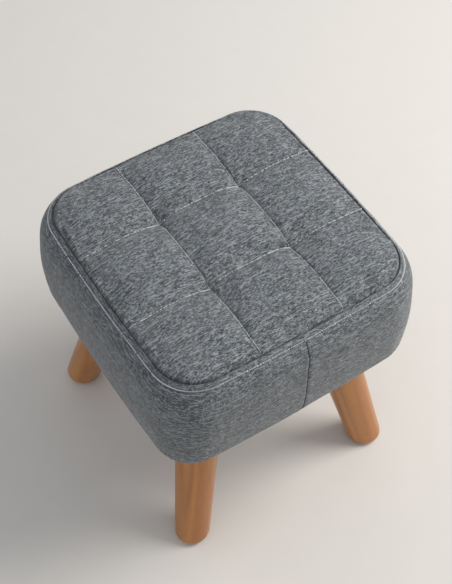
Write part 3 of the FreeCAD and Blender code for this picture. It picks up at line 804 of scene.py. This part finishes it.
def foam_pad_mesh(seat, side, turn, half_width):
    """A foam pad from the hem to the top board, turned to its side."""
    gap = 0.3 * MM
    board = BASE_HIGH.x + gap
    rail = RAIL_REACH + gap
    low = BAND_LOW.z + seat.cloth + gap
    step = BASE_HIGH.z + gap
    top = LID_HIGH.z - gap
    levels = [(low + (step - low) * i / 5, board) for i in range(6)]
    levels += [(step + gap + (top - step - gap) * i / 9, rail) for i in range(10)]
    rings = [foam_pad_ring(seat, height, reach, half_width) for height, reach in levels]
    mesh = closed_stack("foam_" + side, rings)
    mesh.transform(Matrix.Rotation(turn, 4, "Z"))
    return mesh


# Underside


def dust_cover_mesh(seat):
    """Thin cloth stapled over the hem, slightly slack between the legs."""
    half = DUST_HIGH.x
    count = 64
    thickness, hem_step, sag, wave = 0.6 * MM, 1.5 * MM, 1.4 * MM, 0.5 * MM
    stops = np.linspace(-half, half, count)
    x, y = np.meshgrid(stops, stops)
    reach = np.maximum(np.abs(x), np.abs(y))
    opening = hem_opening(seat)
    step = np.clip((reach - (opening - hem_step)) / hem_step, 0, 1)
    under_board = BASE_LOW.z - thickness
    under_hem = BAND_LOW.z - thickness
    flat = under_board * (1 - step) + under_hem * step
    slack = np.cos(x / opening * math.pi / 2) * np.cos(y / opening * math.pi / 2)
    slack = np.clip(slack, 0, 1) ** 1.5
    waves = np.array([
        ripple((a + b, (a - b) * 0.35, 0), 24 * MM, 2.0) for a, b in zip(x.ravel(), y.ravel())])
    low = flat - (sag + wave * waves.reshape(x.shape)) * slack
    low = np.minimum(low, flat)
    lower = np.stack([x, y, low], -1)
    return closed_sheet("dust_cover", lower, lower + np.array([0, 0, thickness]), flip=True)


def staples_mesh(seat):
    """Wire staples round the edge of the dust cover, each a bent strip driven up into the board."""
    thickness, width, crown, leg = 0.5 * MM, 1.2 * MM, 10 * MM, 2.2 * MM
    bend = 0.8 * MM
    half = crown / 2
    outline_points = [(-half, leg)]
    for i in range(4):
        angle = math.pi / 2 * i / 3
        outline_points.append((-half + bend * (1 - math.cos(angle)), bend * (1 - math.sin(angle))))
    outline_points += [(-x, z) for x, z in reversed(outline_points)]
    line = (DUST_HIGH.x + hem_opening(seat)) / 2
    under = BAND_LOW.z - 0.6 * MM
    points = []
    faces = []
    per_side = 8
    for side in range(4):
        turn = Matrix.Rotation(side * math.pi / 2, 3, "Z")
        for i in range(per_side):
            along = line * 0.86 * (2 * i / (per_side - 1) - 1)
            tilt = Matrix.Rotation(0.12 * math.sin(3.1 * i + side), 3, "Z")
            first = len(points)
            for x, z in outline_points:
                for across, up in ((-1, 0), (1, 0), (1, 1), (-1, 1)):
                    shrink = 1 - up * thickness / half
                    place = tilt @ Vector((x * shrink, across * width / 2, 0))
                    place += Vector((along + 1.2 * MM * math.sin(5 * i), -line, 0))
                    place.z = under - thickness + z + up * thickness
                    points.append(turn @ place)
            faces += tube_faces(first, len(outline_points), 4)
    return mesh_of("dust_cover_staples", points, faces)


# Materials


class Wiring:
    """Adds nodes to one material and joins them."""

    def __init__(self, name):
        self.material = bpy.data.materials.new(name)
        self.material.use_nodes = True
        self.tree = self.material.node_tree
        self.shader = self.tree.nodes["Principled BSDF"]

    def put(self, socket, value):
        if isinstance(value, bpy.types.NodeSocket):
            self.tree.links.new(value, socket)
        elif value is not None:
            socket.default_value = value

    def node(self, kind, inputs=None, **settings):
        node = self.tree.nodes.new(kind)
        for key, value in settings.items():
            setattr(node, key, value)
        for key, value in (inputs or {}).items():
            self.put(node.inputs[key], value)
        return node

    def axes(self, vector):
        """The three parts of a vector."""
        return tuple(self.node("ShaderNodeSeparateXYZ", {"Vector": vector}).outputs)

    def between(self, share, first, second):
        """A number between two others."""
        return self.node("ShaderNodeMix", data_type="FLOAT", inputs={
            "Factor": share, "A": first, "B": second}).outputs["Result"]

    def times(self, first, second):
        return self.math("MULTIPLY", first, second)

    def plus(self, first, second):
        return self.math("ADD", first, second)

    def math(self, operation, first, second=None, third=None):
        node = self.node("ShaderNodeMath", operation=operation)
        for socket, value in zip(node.inputs, (first, second, third)):
            self.put(socket, value)
        return node.outputs[0]

    def combine(self, x, y, z=0.0):
        return self.node("ShaderNodeCombineXYZ", {"X": x, "Y": y, "Z": z}).outputs[0]

    def noise(self, vector, scale, detail=2.0, roughness=0.5, dimensions="3D"):
        node = self.node("ShaderNodeTexNoise", noise_dimensions=dimensions)
        self.put(node.inputs["Vector"], vector)
        self.put(node.inputs["Scale"], scale)
        self.put(node.inputs["Detail"], detail)
        self.put(node.inputs["Roughness"], roughness)
        return node.outputs["Fac"]

    def spread(self, value, low, high, to_low=0.0, to_high=1.0):
        """Stretches a range of values to another, and cuts off what is outside."""
        node = self.node("ShaderNodeMapRange")
        for socket, number in zip(node.inputs, (value, low, high, to_low, to_high)):
            self.put(socket, number)
        return node.outputs[0]

    def mix(self, share, first, second):
        node = self.node("ShaderNodeMix", data_type="RGBA")
        self.put(node.inputs["Factor"], share)
        colours = [s for s in node.inputs if s.type == "RGBA"]
        for socket, value in zip(colours, (first, second)):
            if not isinstance(value, bpy.types.NodeSocket):
                value = (*value[:3], 1.0)
            self.put(socket, value)
        return next(s for s in node.outputs if s.type == "RGBA")

    def scale_colour(self, colour, amount):
        """A colour made lighter or darker by a number that varies over the surface."""
        node = self.node("ShaderNodeVectorMath", operation="SCALE")
        self.put(node.inputs[0], colour)
        self.put(node.inputs["Scale"], amount)
        return node.outputs[0]

    def bump(self, height, strength, distance):
        return self.node("ShaderNodeBump", {
            "Height": height, "Strength": strength, "Distance": distance}).outputs[0]

    def finish(self, **sockets):
        """Sets the shader's sockets, with spaces for underscores in their names."""
        for key, value in sockets.items():
            socket = self.shader.inputs[key.replace("_", " ")]
            if isinstance(value, (tuple, list)) and len(value) == 3:
                value = (*value, 1.0)
            self.put(socket, value)
        return self.material


def places(wiring):
    """Object coordinates in metres."""
    return wiring.node("ShaderNodeTexCoord").outputs["Object"]


def melange_cloth(finish):
    """Plain weave of light, middle and dark yarns, each yarn changing along its length, with
    painted shade in the gaps between the yarns.
    """
    w = Wiring("melange_cloth")
    uv = w.node("ShaderNodeUVMap", uv_map="cloth").outputs[0]
    u, v, _ = w.axes(uv)
    yarn = 0.78 * MM
    yarn_u = w.math("DIVIDE", u, yarn)
    yarn_v = w.math("DIVIDE", v, yarn)
    column = w.math("FLOOR", yarn_u)
    row = w.math("FLOOR", yarn_v)

    weft_place = w.combine(w.math("DIVIDE", u, 3.6 * MM), w.times(row, 3.17))
    weft = w.noise(weft_place, 1.0, 2.5, 0.65, "2D")
    warp_place = w.combine(w.math("DIVIDE", v, 2.4 * MM), w.times(column, 4.31))
    warp = w.noise(warp_place, 1.0, 2.5, 0.65, "2D")
    parity = w.math("MODULO", w.plus(w.plus(row, column), 20000.0), 2.0)
    over = w.math("GREATER_THAN", parity, 0.5)
    yarn_value = w.between(w.spread(over, 0.0, 1.0, 0.5, 1.0), warp, weft)

    slub_place = w.combine(w.math("DIVIDE", u, 15 * MM), w.times(row, 7.73))
    slub = w.noise(slub_place, 1.0, 1.0, 0.5, "2D")
    light_slub = w.spread(slub, 0.64, 0.69)
    dark_slub = w.spread(slub, 0.35, 0.30)
    cloud = w.noise(w.combine(u, v), 45.0, 2.0, 0.5, "2D")

    dark = w.mix(w.spread(yarn_value, 0.33, 0.49), finish.cloth_dark, finish.cloth_middle)
    colour = w.mix(w.spread(yarn_value, 0.51, 0.67), dark, finish.cloth_light)
    colour = w.mix(w.times(light_slub, 0.7), colour, finish.cloth_light)
    colour = w.mix(w.times(dark_slub, 0.6), colour, finish.cloth_dark)
    colour = w.scale_colour(colour, w.spread(cloud, 0.3, 0.7, 0.96, 1.04))

    def rounded(across):
        """Round cross-section of a yarn from its place in its pitch."""
        middle = w.math("SUBTRACT", w.math("FRACT", across), 0.5)
        return w.math("SUBTRACT", 1.0, w.times(w.math("POWER", middle, 2.0), 3.2))

    crossing = w.between(over, rounded(yarn_u), rounded(yarn_v))
    # Painted shade: the colour darkens down each yarn's rounded sides and in the gaps between the
    # yarns.
    gap = w.times(rounded(yarn_u), rounded(yarn_v))
    colour = w.scale_colour(colour, w.spread(gap, 0.05, 0.8, 0.86, 1.03))
    height = w.plus(w.times(crossing, 0.5), yarn_value)
    normal = w.bump(height, 0.25, 0.3 * MM)
    return w.finish(
        Base_Color=colour, Normal=normal, Roughness=0.92, Specular_IOR_Level=0.18,
        Sheen_Weight=0.22, Sheen_Roughness=0.45)


def sewing_thread(name, colour):
    """Twisted thread."""
    w = Wiring(name)
    place = places(w)
    twist = w.node("ShaderNodeTexWave", {
        "Vector": place, "Scale": 900.0, "Distortion": 3.0, "Detail": 1.0},
        wave_type="BANDS", bands_direction="DIAGONAL").outputs["Fac"]
    shade = w.noise(place, 700.0, 2.0)
    colour = w.mix(w.spread(shade, 0.3, 0.7), [c * 0.78 for c in colour], list(colour))
    return w.finish(
        Base_Color=colour, Normal=w.bump(twist, 0.4, 0.1 * MM), Roughness=0.7,
        Specular_IOR_Level=0.3, Sheen_Weight=0.15, Sheen_Roughness=0.4)


def along_grain(w, turn):
    """Object coordinates turned so that the grain runs along Z."""
    return w.node("ShaderNodeMapping", {
        "Vector": places(w), "Rotation": turn}, vector_type="POINT").outputs[0]


def wood(name, turn, light, dark, grain=1.0, lacquer=0.0, roughness=0.6):
    """Wood with growth bands, fine pores and short flecks along its grain."""
    w = Wiring(name)
    place = along_grain(w, turn)
    x, y, z = w.axes(place)
    long_place = w.combine(x, y, w.times(z, 0.08))
    broad = w.noise(long_place, 55.0 * grain, 3.0, 0.6)
    bands = w.math("FRACT", w.times(w.noise(long_place, 26.0 * grain, 1.0), 7.0))
    bands = w.math("ABSOLUTE", w.math("SUBTRACT", bands, 0.5))
    fleck_place = w.combine(x, y, w.times(z, 0.16))
    flecks = w.noise(fleck_place, 950.0 * grain, 2.0, 0.6)
    pores = w.noise(w.combine(x, y, w.times(z, 0.05)), 2100.0 * grain, 1.0)
    share = w.plus(w.times(broad, 0.55), w.times(bands, 0.75))
    colour = w.mix(w.spread(share, 0.25, 0.75), dark, light)
    colour = w.mix(w.times(w.spread(flecks, 0.56, 0.68), 0.6), colour, dark)
    colour = w.scale_colour(colour, w.spread(pores, 0.35, 0.65, 0.93, 1.05))
    height = w.plus(w.times(flecks, -0.5), w.times(pores, 0.3))
    normal = w.bump(height, 0.25 if lacquer else 0.6, 0.08 * MM)
    rough = w.spread(flecks, 0.3, 0.7, roughness - 0.05, roughness + 0.07)
    return w.finish(
        Base_Color=colour, Normal=normal, Roughness=rough, Coat_Weight=lacquer,
        Coat_Roughness=0.28)


def plywood(name, light, dark, low, high):
    """Face veneer with grain along X, and stacked plies at the edges."""
    w = Wiring(name)
    place = places(w)
    x, y, z = w.axes(place)
    face_place = w.combine(w.times(x, 0.07), y, z)
    figure = w.noise(face_place, 60.0, 4.0, 0.6)
    fibre = w.noise(w.combine(w.times(x, 0.04), y, z), 1500.0, 1.0)
    plies = max(3, 2 * round((high - low) / (3.2 * MM)) + 1)
    layer = w.math("FLOOR", w.times(w.math("SUBTRACT", z, low), plies / (high - low)))
    turned = w.math("MODULO", w.plus(layer, 40.0), 2.0)
    facing = w.node("ShaderNodeNewGeometry").outputs["Normal"]
    up = w.math("ABSOLUTE", w.axes(facing)[2])
    edge = w.math("LESS_THAN", up, 0.5)
    colour = w.mix(w.spread(figure, 0.3, 0.7), dark, light)
    edge_share = w.times(w.times(edge, turned), 0.6)
    colour = w.mix(edge_share, colour, [c * 0.55 for c in dark])
    colour = w.scale_colour(colour, w.spread(fibre, 0.35, 0.65, 0.93, 1.05))
    return w.finish(
        Base_Color=colour, Normal=w.bump(fibre, 0.5, 0.1 * MM), Roughness=0.72)


def open_foam(name, light, dark):
    """Open-cell foam: light struts, with painted shade in the cell hollows."""
    w = Wiring(name)
    place = places(w)
    cells = w.node("ShaderNodeTexVoronoi", {"Vector": place, "Scale": 900.0},
                   feature="DISTANCE_TO_EDGE").outputs["Distance"]
    cloud = w.noise(place, 60.0, 3.0)
    # Painted shade: the cell hollows take the dark colour, and the struts round them the light one.
    colour = w.mix(w.spread(cells, 0.0, 0.25), light, dark)
    colour = w.scale_colour(colour, w.spread(cloud, 0.3, 0.7, 0.92, 1.06))
    return w.finish(
        Base_Color=colour, Normal=w.bump(cells, 0.7, 0.4 * MM), Roughness=0.95,
        Specular_IOR_Level=0.1)


def zinc_steel():
    """Bright zinc plating with a fine grain and light wear."""
    w = Wiring("zinc_steel")
    place = places(w)
    grain = w.noise(place, 1400.0, 3.0)
    stain = w.noise(place, 120.0, 3.0)
    colour = w.mix(w.spread(stain, 0.35, 0.7), (0.56, 0.57, 0.58), (0.66, 0.65, 0.60))
    return w.finish(
        Base_Color=colour, Metallic=1.0, Roughness=w.spread(grain, 0.3, 0.7, 0.28, 0.42),
        Normal=w.bump(grain, 0.15, 0.05 * MM))


def pressed_fibre(name, light, dark, size, lift):
    """Felt or thin bonded cloth: matted short fibres."""
    w = Wiring(name)
    place = places(w)
    mat = w.noise(place, size, 4.0, 0.7)
    x, y, _ = w.axes(place)
    hair = w.noise(w.combine(x, w.times(y, 0.2)), size * 1.6, 2.0)
    both = w.plus(w.times(mat, 0.6), w.times(hair, 0.4))
    colour = w.mix(w.spread(both, 0.35, 0.65), dark, light)
    return w.finish(
        Base_Color=colour, Normal=w.bump(both, 0.6, lift), Roughness=0.95,
        Specular_IOR_Level=0.15, Sheen_Weight=0.3, Sheen_Roughness=0.5)


def lay_twine():
    """Waxed tufting twine, with painted shade in the grooves between its strands."""
    w = Wiring("waxed_twine")
    place = places(w)
    strands = w.node("ShaderNodeTexWave", {
        "Vector": place, "Scale": 420.0, "Distortion": 1.0}, wave_type="BANDS",
        bands_direction="DIAGONAL").outputs["Fac"]
    # Painted shade: the twine is darker where its strands sink into the grooves of the twist.
    colour = w.mix(strands, (0.52, 0.47, 0.38), (0.72, 0.67, 0.56))
    return w.finish(
        Base_Color=colour, Normal=w.bump(strands, 0.8, 0.3 * MM), Roughness=0.65)


def plain_floor(stage_finish):
    """Pale matt floor that meets the pale surroundings."""
    w = Wiring("pale_floor")
    grain = w.noise(places(w), 30.0, 3.0)
    colour = w.mix(w.spread(grain, 0.3, 0.7), [c * 0.985 for c in stage_finish.floor],
                   list(stage_finish.floor))
    return w.finish(Base_Color=colour, Roughness=0.85, Specular_IOR_Level=0.15)


# Operators


def settings_of(context):
    return context.scene.footstool


class FOOTSTOOL_OT_quilted_top(Operator):
    """Makes the quilted top, blown up by its wadding between the quilting lines"""

    bl_idname = "footstool.quilted_top"
    bl_label = "Quilted Top"

    def execute(self, context):
        settings = settings_of(context)
        mesh, top = quilted_top_mesh(settings.seat, settings.quilt)
        cloth = melange_cloth(settings.finish)
        piece = add_piece("quilted_top", mesh, cloth, ["top_panel"])
        runs = quilting_runs(settings.quilt, settings.thread, top)
        thread = sewing_thread("light_thread", settings.finish.thread_light)
        add_piece("quilting_stitches", joined_runs("quilting_stitches", runs), thread)
        return {"FINISHED"}


class FOOTSTOOL_OT_side_band(Operator):
    """Makes the side band with its flange, topstitch, closing seam and hem"""

    bl_idname = "footstool.side_band"
    bl_label = "Side Band"

    def execute(self, context):
        settings = settings_of(context)
        seat = settings.seat
        thread = settings.thread
        mesh, points, columns, runs, length = side_band_mesh(seat)
        cloth = bpy.data.materials["melange_cloth"]
        band = add_piece("side_band_cover", mesh, cloth, ["side_band"])
        strip = runs[len(band_profile(seat)) - 1]
        normals = grid_normals(points)
        top_path = band_path(points, normals, runs, thread.topstitch)
        top_run = stitch_run(top_path, thread, thread.radius)
        light = bpy.data.materials["light_thread"]
        add_piece("topstitch", joined_runs("topstitch", [top_run]), light)
        last = len(band_profile(seat)) - 8
        seam = closing_path(points, normals, columns, runs, length, last)
        dark = sewing_thread("dark_thread", settings.finish.thread_dark)
        closing = joined_runs("closing_seam", [stitch_run(seam, thread, thread.fine_radius)])
        add_piece("closing_seam", closing, dark)
        return {"FINISHED"}


class FOOTSTOOL_OT_foam(Operator):
    """Makes the foam under the cover"""

    bl_idname = "footstool.foam"
    bl_label = "Foam"

    def execute(self, context):
        seat = settings_of(context).seat
        # The second colour is the painted shade in the foam's cell hollows.
        foam = open_foam("seat_foam", (0.74, 0.70, 0.58), (0.42, 0.38, 0.28))
        slab = add_piece("seat_foam_slab", seat_foam_mesh(seat), foam, ["seat_foam"])
        for k, side in enumerate(SIDES):
            half_width = seat.belly_reach if k % 2 == 0 else RAIL_REACH
            mesh = foam_pad_mesh(seat, side, k * math.pi / 2, half_width)
            pad = add_piece("foam_pad_" + side, mesh, foam, ["foam_" + side])
        return {"FINISHED"}


class FOOTSTOOL_OT_underside(Operator):
    """Makes the dust cover and its staples"""

    bl_idname = "footstool.underside"
    bl_label = "Underside"

    def execute(self, context):
        seat = settings_of(context).seat
        bonded = pressed_fibre(
            "bonded_dust_cloth", (0.035, 0.035, 0.037), (0.012, 0.012, 0.013), 900.0, 0.2 * MM)
        cover = add_piece("dust_cloth", dust_cover_mesh(seat), bonded, ["dust_cover"])
        add_piece("dust_cover_staples", staples_mesh(seat), zinc_steel())
        return {"FINISHED"}


class FOOTSTOOL_OT_legs(Operator):
    """Finishes the legs in honey lacquer and their foot pads in felt"""

    bl_idname = "footstool.legs"
    bl_label = "Legs"

    def execute(self, context):
        finish = settings_of(context).finish
        for corner in CORNERS:
            name = "leg_" + corner
            low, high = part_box(name)
            pad_low, pad_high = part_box("foot_pad_" + corner)
            bolt_low, bolt_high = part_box("hanger_bolt_" + corner)
            lean = (pad_low + pad_high - bolt_low - bolt_high) / 2
            lean.z = low.z - high.z
            turn = lean.rotation_difference(Vector((0, 0, -1))).to_euler()
            material = wood(
                "lacquered_beech_" + corner, turn, tuple(finish.beech), tuple(finish.beech_dark),
                lacquer=0.5, roughness=0.42)
            finish_nodes([name], material)
        felt = pressed_fibre("felt", (0.16, 0.14, 0.12), (0.07, 0.06, 0.055), 1500.0, 0.3 * MM)
        finish_nodes(["foot_pad_" + corner for corner in CORNERS], felt)
        return {"FINISHED"}


class FOOTSTOOL_OT_wooden_box(Operator):
    """Finishes the boards, rails, cleats and blocks"""

    bl_idname = "footstool.wooden_box"
    bl_label = "Wooden Box"

    def execute(self, context):
        for name in ("base_board", "top_board"):
            low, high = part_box(name)
            material = plywood(
                name + "_plywood", (0.68, 0.50, 0.31), (0.50, 0.33, 0.18), low.z, high.z)
            finish_nodes([name], material)
        pine = ((0.66, 0.47, 0.26), (0.46, 0.28, 0.13))
        along_x = Euler((0, math.pi / 2, 0))
        along_y = Euler((math.pi / 2, 0, 0))
        groups = {
            "pine_along_x": (along_x, ["rail_front", "rail_back"]),
            "pine_along_y": (
                along_y, ["rail_left", "rail_right", "leg_cleat_left", "leg_cleat_right"]),
            "pine_upright": (Euler((0, 0, 0)), ["corner_block_" + corner for corner in CORNERS]),
        }
        for name, (turn, nodes) in groups.items():
            finish_nodes(nodes, wood(name, turn, *pine, grain=0.8, roughness=0.7))
        return {"FINISHED"}


class FOOTSTOOL_OT_hardware(Operator):
    """Finishes the bolts, nuts, screws, washers and twines"""

    bl_idname = "footstool.hardware"
    bl_label = "Hardware"

    def execute(self, context):
        steel = bpy.data.materials["zinc_steel"]
        names = ["frame_screws", "tuft_washers"]
        for kind in ("hanger_bolt_", "t_nut_"):
            names += [kind + corner for corner in CORNERS]
        finish_nodes(names, steel)
        finish_nodes(["tuft_twines"], lay_twine())
        return {"FINISHED"}


def camera_axes(stage):
    """The camera's right, up and back directions."""
    back = Vector((
        math.sin(stage.azimuth) * math.cos(stage.elevation),
        -math.cos(stage.azimuth) * math.cos(stage.elevation),
        math.sin(stage.elevation)))
    right = Vector((0, 0, 1)).cross(back).normalized()
    up = back.cross(right)
    turn = Matrix.Rotation(stage.roll, 3, back)
    return turn @ right, turn @ up, back


class FOOTSTOOL_OT_stage(Operator):
    """Makes the floor, the lights and the camera"""

    bl_idname = "footstool.stage"
    bl_label = "Stage"

    def execute(self, context):
        settings = settings_of(context)
        stage = settings.stage
        scene = context.scene
        half = 6.0
        mesh = mesh_of("floor", [
            (-half, -half, 0), (half, -half, 0), (half, half, 0), (-half, half, 0)], [[0, 1, 2, 3]])
        mesh.materials.append(plain_floor(settings.finish))
        floor = bpy.data.objects.new("floor", mesh)
        scene.collection.objects.link(floor)

        lamp = bpy.data.lights.new("key_light", "AREA")
        lamp.energy = stage.key_power
        lamp.shape = "DISK"
        lamp.size = 1.3
        lamp.color = (1.0, 0.97, 0.93)
        key = bpy.data.objects.new("key_light", lamp)
        key.location = (1.45, -0.5, 1.75)
        aim = Vector((0, 0, 0.2)) - Vector(key.location)
        key.rotation_euler = aim.to_track_quat("-Z", "Y").to_euler()
        scene.collection.objects.link(key)

        world = bpy.data.worlds.new("surroundings")
        world.use_nodes = True
        background = world.node_tree.nodes["Background"]
        background.inputs["Color"].default_value = (0.93, 0.96, 1.0, 1.0)
        background.inputs["Strength"].default_value = stage.sky
        scene.world = world

        right, up, back = camera_axes(stage)
        eye = bpy.data.cameras.new("camera")
        eye.sensor_width = 36
        eye.lens = stage.lens
        camera = bpy.data.objects.new("camera", eye)
        place = back * stage.distance + right * stage.slide_right + up * stage.slide_up
        place.z += BAND_HIGH.z
        turn = Matrix((right, up, back)).transposed().to_4x4()
        camera.matrix_world = Matrix.Translation(place) @ turn
        scene.collection.objects.link(camera)
        scene.camera = camera
        scene.view_settings.view_transform = "Standard"
        return {"FINISHED"}


class FOOTSTOOL_PT_footstool(Panel):
    """Lists the footstool's steps and sizes"""

    bl_label = "Footstool"
    bl_idname = "FOOTSTOOL_PT_footstool"
    bl_space_type = "VIEW_3D"
    bl_region_type = "UI"
    bl_category = "Footstool"

    def draw(self, context):
        layout = self.layout
        for step in STEPS:
            layout.operator(step.bl_idname)
        settings = settings_of(context)
        for key in FootstoolSettings.__annotations__:
            group = getattr(settings, key)
            box = layout.box()
            for key in type(group).__annotations__:
                box.prop(group, key)


STEPS = (
    FOOTSTOOL_OT_quilted_top,
    FOOTSTOOL_OT_side_band,
    FOOTSTOOL_OT_foam,
    FOOTSTOOL_OT_underside,
    FOOTSTOOL_OT_legs,
    FOOTSTOOL_OT_wooden_box,
    FOOTSTOOL_OT_hardware,
    FOOTSTOOL_OT_stage,
)
SETTINGS = (SeatSizes, QuiltSizes, ThreadSizes, Finishes, StageSizes, FootstoolSettings)


def register():
    for item in SETTINGS + STEPS + (FOOTSTOOL_PT_footstool,):
        bpy.utils.register_class(item)
    bpy.types.Scene.footstool = PointerProperty(type=FootstoolSettings)


def unregister():
    del bpy.types.Scene.footstool
    for item in reversed(SETTINGS + STEPS + (FOOTSTOOL_PT_footstool,)):
        bpy.utils.unregister_class(item)


def main():
    register()
    bpy.ops.footstool.quilted_top()
    bpy.ops.footstool.side_band()
    bpy.ops.footstool.foam()
    bpy.ops.footstool.underside()
    bpy.ops.footstool.legs()
    bpy.ops.footstool.wooden_box()
    bpy.ops.footstool.hardware()
    bpy.ops.footstool.stage()


if __name__ == "__main__":
    main()
